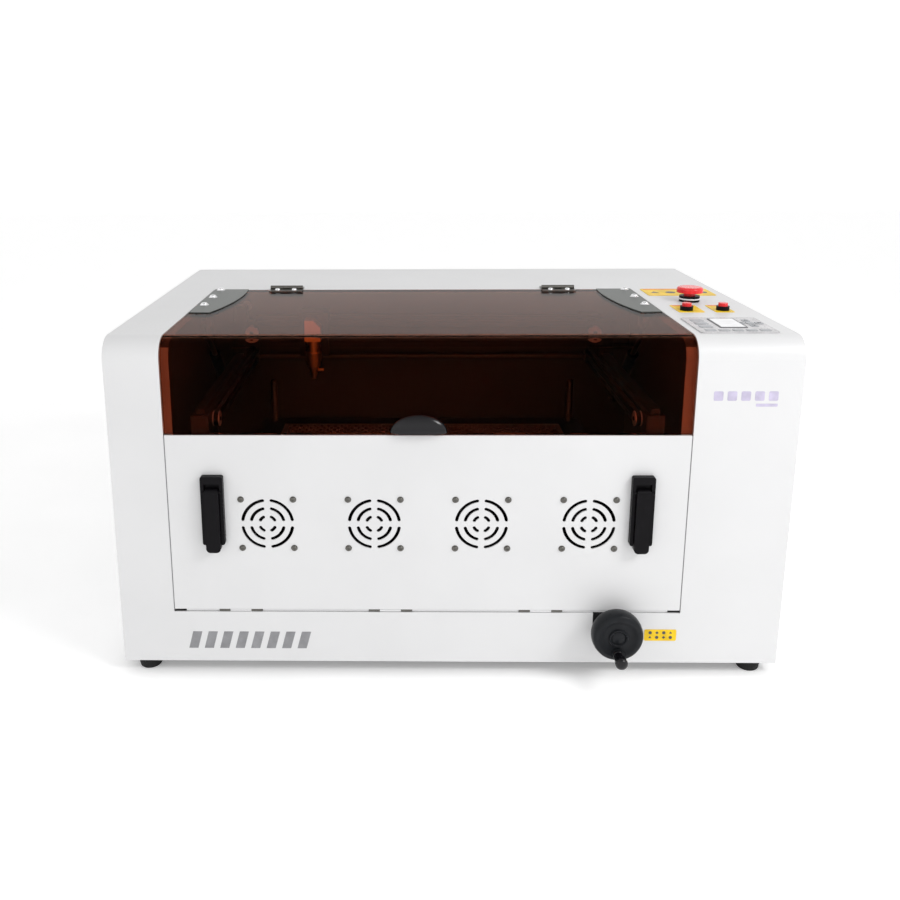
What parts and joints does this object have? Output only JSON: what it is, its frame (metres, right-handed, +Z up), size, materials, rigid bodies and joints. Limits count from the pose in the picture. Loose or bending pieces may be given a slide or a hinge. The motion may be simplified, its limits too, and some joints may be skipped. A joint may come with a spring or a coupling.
{
  "type": "laser engraver",
  "caption": "Desktop CO2 laser engraver in a white sheet-steel cabinet with a smoked bent lid, drop-down front door, lift table and gantry.",
  "frame": {"origin": "on the floor under the centre of the cabinet, which is also the centre of the bounding box", "axes": "+X right seen from the front, -Y towards the operator, +Z up"},
  "size_m": [0.922, 0.74, 0.511],
  "materials": {
    "white_coat": "fine satin powder coat",
    "smoked_acrylic": "smoked amber-brown acrylic, polished",
    "steel": "brushed, bright",
    "chrome": "polished dome heads",
    "plate_grey": "satin",
    "aluminium": "anodised, fine grain",
    "black_anodised": "black anodised, fine grain",
    "black_plastic": "moulded, satin",
    "gloss_black": "moulded, glossy",
    "wheel_grey": "moulded phenolic, satin",
    "rubber": "matte",
    "red_plastic": "moulded, glossy",
    "yellow_label": "printed film",
    "panel_film": "membrane keypad film",
    "tube_glass": "clear borosilicate",
    "dark_metal": "dark satin",
    "brass": "turned"
  },
  "bodies": {
    "cabinet": {"main_cover": "white_coat", "side_panels": "white_coat", "base_pan": "white_coat", "rear_panel": "white_coat", "access_cover": "white_coat", "inner_frame": "white_coat", "tube_partition": "white_coat", "rubber_feet": "rubber", "exhaust_duct": "black_plastic", "rear_fittings": "black_plastic", "laser_tube": "tube_glass", "tube_clamps": "dark_metal", "electronics": "aluminium", "label_plates": "yellow_label", "button_collars": "black_plastic", "control_panel": "panel_film", "top_hinge_leaves": "steel", "beam_hinge_leaves": "steel", "drive_mounts": "dark_metal", "rail_beams": "black_anodised", "toothed_belts": "rubber"},
    "exhaust_rotor": {"exhaust_rotor": "black_plastic"},
    "power_rocker": {"power_rocker": "red_plastic"},
    "estop_button": {"estop_button": "red_plastic"},
    "push_button_1": {"push_button_1": "red_plastic"},
    "push_button_2": {"push_button_2": "red_plastic"},
    "lid": {"lid_window": "smoked_acrylic", "lid_pull": "gloss_black", "corner_plates": "plate_grey", "corner_bolts": "chrome", "lid_hinge_leaves": "steel"},
    "strut_cylinders": {"strut_cylinders": "black_plastic"},
    "strut_rods": {"strut_rods": "steel"},
    "door": {"front_door": "white_coat", "fan_frames": "black_plastic", "fan_screws": "steel", "latch_housings": "black_plastic"},
    "latch_lever_1": {"latch_lever_1": "black_plastic"},
    "latch_lever_2": {"latch_lever_2": "black_plastic"},
    "fan_rotor_1": {"fan_rotor_1": "black_plastic"},
    "fan_rotor_2": {"fan_rotor_2": "black_plastic"},
    "fan_rotor_3": {"fan_rotor_3": "black_plastic"},
    "fan_rotor_4": {"fan_rotor_4": "black_plastic"},
    "table": {"table_frame": "black_anodised", "honeycomb": "aluminium"},
    "lead_screw_1": {"lead_screw_1": "steel"},
    "lead_screw_2": {"lead_screw_2": "steel"},
    "lead_screw_3": {"lead_screw_3": "steel"},
    "lead_screw_4": {"lead_screw_4": "steel"},
    "handwheel": {"handwheel": "wheel_grey"},
    "handwheel_grip": {"handwheel_grip": "gloss_black"},
    "gantry": {"gantry_beam": "black_anodised", "x_motor": "dark_metal", "x_belt": "rubber"},
    "x_pulley_1": {"x_pulley_1": "aluminium"},
    "x_pulley_2": {"x_pulley_2": "aluminium"},
    "drive_shaft": {"drive_shaft": "steel"},
    "y_idlers": {"y_idlers": "aluminium"},
    "head": {"head_carriage": "aluminium", "laser_head": "brass"}
  },
  "joints": [
    {"name": "lid_hinge", "type": "hinge", "parent": "cabinet", "child": "lid", "pos_m": [-0.032, 0.071, 0.492], "axis": [-1, 0, 0], "range_deg": [0, 70]},
    {"name": "strut_swing", "type": "hinge", "parent": "cabinet", "child": "strut_cylinders", "pos_m": [-0.032, 0.06, 0.3], "axis": [-1, 0, 0], "range_deg": [0, 34]},
    {"name": "strut_stroke", "type": "slide", "parent": "strut_cylinders", "child": "strut_rods", "axis": [0, -0.7113, 0.7029], "range_m": [0, 0.1235]},
    {"name": "door_hinge", "type": "hinge", "parent": "cabinet", "child": "door", "pos_m": [-0.032, -0.2979, 0.097], "axis": [1, 0, 0], "range_deg": [0, 45]},
    {"name": "latch_1", "type": "hinge", "parent": "door", "child": "latch_lever_1", "pos_m": [-0.323, -0.30875, 0.277], "axis": [-1, 0, 0], "range_deg": [0, 50]},
    {"name": "latch_2", "type": "hinge", "parent": "door", "child": "latch_lever_2", "pos_m": [0.259, -0.30875, 0.277], "axis": [-1, 0, 0], "range_deg": [0, 50]},
    {"name": "fan_spin_1", "type": "hinge", "parent": "door", "child": "fan_rotor_1", "pos_m": [-0.2498, -0.285, 0.228], "axis": [0, 1, 0], "continuous": true},
    {"name": "fan_spin_2", "type": "hinge", "parent": "door", "child": "fan_rotor_2", "pos_m": [-0.1034, -0.285, 0.228], "axis": [0, 1, 0], "continuous": true},
    {"name": "fan_spin_3", "type": "hinge", "parent": "door", "child": "fan_rotor_3", "pos_m": [0.043, -0.285, 0.228], "axis": [0, 1, 0], "continuous": true},
    {"name": "fan_spin_4", "type": "hinge", "parent": "door", "child": "fan_rotor_4", "pos_m": [0.1894, -0.285, 0.228], "axis": [0, 1, 0], "continuous": true},
    {"name": "exhaust_spin", "type": "hinge", "parent": "cabinet", "child": "exhaust_rotor", "pos_m": [0, 0.26, 0.17], "axis": [0, 1, 0], "continuous": true},
    {"name": "power_switch", "type": "hinge", "parent": "cabinet", "child": "power_rocker", "pos_m": [0.39, 0.298, 0.103], "axis": [1, 0, 0], "range_deg": [0, 12]},
    {"name": "estop_press", "type": "slide", "parent": "cabinet", "child": "estop_button", "axis": [0, 0, -1], "range_m": [0, 0.0045], "stiffness_N_per_m": 1500, "springref_m": -0.002},
    {"name": "button_press_1", "type": "slide", "parent": "cabinet", "child": "push_button_1", "axis": [0, 0, -1], "range_m": [0, 0.003], "stiffness_N_per_m": 600, "springref_m": -0.001},
    {"name": "button_press_2", "type": "slide", "parent": "cabinet", "child": "push_button_2", "axis": [0, 0, -1], "range_m": [0, 0.003], "stiffness_N_per_m": 600, "springref_m": -0.001},
    {"name": "table_lift", "type": "slide", "parent": "cabinet", "child": "table", "axis": [0, 0, 1], "range_m": [0, 0.06]},
    {"name": "screw_turn_1", "type": "hinge", "parent": "cabinet", "child": "lead_screw_1", "pos_m": [-0.292, -0.245, 0.06], "axis": [0, 0, 1], "range_deg": [0, 2703]},
    {"name": "screw_turn_2", "type": "hinge", "parent": "cabinet", "child": "lead_screw_2", "pos_m": [-0.292, 0.085, 0.06], "axis": [0, 0, 1], "range_deg": [0, 2703]},
    {"name": "screw_turn_3", "type": "hinge", "parent": "cabinet", "child": "lead_screw_3", "pos_m": [0.228, -0.245, 0.06], "axis": [0, 0, 1], "range_deg": [0, 2703]},
    {"name": "screw_turn_4", "type": "hinge", "parent": "cabinet", "child": "lead_screw_4", "pos_m": [0.228, 0.085, 0.06], "axis": [0, 0, 1], "range_deg": [0, 2703]},
    {"name": "handwheel_turn", "type": "hinge", "parent": "cabinet", "child": "handwheel", "pos_m": [0.228, -0.33, 0.0804], "axis": [0, 1, 0], "range_deg": [0, 2703]},
    {"name": "grip_spin", "type": "hinge", "parent": "handwheel", "child": "handwheel_grip", "pos_m": [0.228, -0.355, 0.0564], "axis": [0, 1, 0], "continuous": true},
    {"name": "gantry_slide", "type": "slide", "parent": "cabinet", "child": "gantry", "axis": [0, -1, 0], "range_m": [0, 0.28]},
    {"name": "head_slide", "type": "slide", "parent": "gantry", "child": "head", "axis": [1, 0, 0], "range_m": [0, 0.36]},
    {"name": "shaft_turn", "type": "hinge", "parent": "cabinet", "child": "drive_shaft", "pos_m": [-0.032, 0.086, 0.368], "axis": [1, 0, 0], "range_deg": [0, 2008]},
    {"name": "idler_turn", "type": "hinge", "parent": "cabinet", "child": "y_idlers", "pos_m": [-0.032, -0.264, 0.368], "axis": [1, 0, 0], "range_deg": [0, 2008]},
    {"name": "x_pulley_turn_1", "type": "hinge", "parent": "gantry", "child": "x_pulley_1", "pos_m": [-0.318, 0.033, 0.42], "axis": [0, 1, 0], "range_deg": [0, 2581]},
    {"name": "x_pulley_turn_2", "type": "hinge", "parent": "gantry", "child": "x_pulley_2", "pos_m": [0.256, 0.033, 0.42], "axis": [0, 1, 0], "range_deg": [0, 2581]}
  ],
  "couplings": [
    {"joint": "strut_swing", "follows": "lid_hinge", "ratio": 0.48},
    {"joint": "strut_stroke", "follows": "lid_hinge", "m_per_rad": 0.1},
    {"joint": "screw_turn_1", "follows": "table_lift", "rad_per_m": 785.4},
    {"joint": "screw_turn_2", "follows": "table_lift", "rad_per_m": 785.4},
    {"joint": "screw_turn_3", "follows": "table_lift", "rad_per_m": 785.4},
    {"joint": "screw_turn_4", "follows": "table_lift", "rad_per_m": 785.4},
    {"joint": "handwheel_turn", "follows": "table_lift", "rad_per_m": 785.4},
    {"joint": "shaft_turn", "follows": "gantry_slide", "rad_per_m": 125},
    {"joint": "idler_turn", "follows": "gantry_slide", "rad_per_m": 125},
    {"joint": "x_pulley_turn_1", "follows": "head_slide", "rad_per_m": 125},
    {"joint": "x_pulley_turn_2", "follows": "head_slide", "rad_per_m": 125}
  ]
}
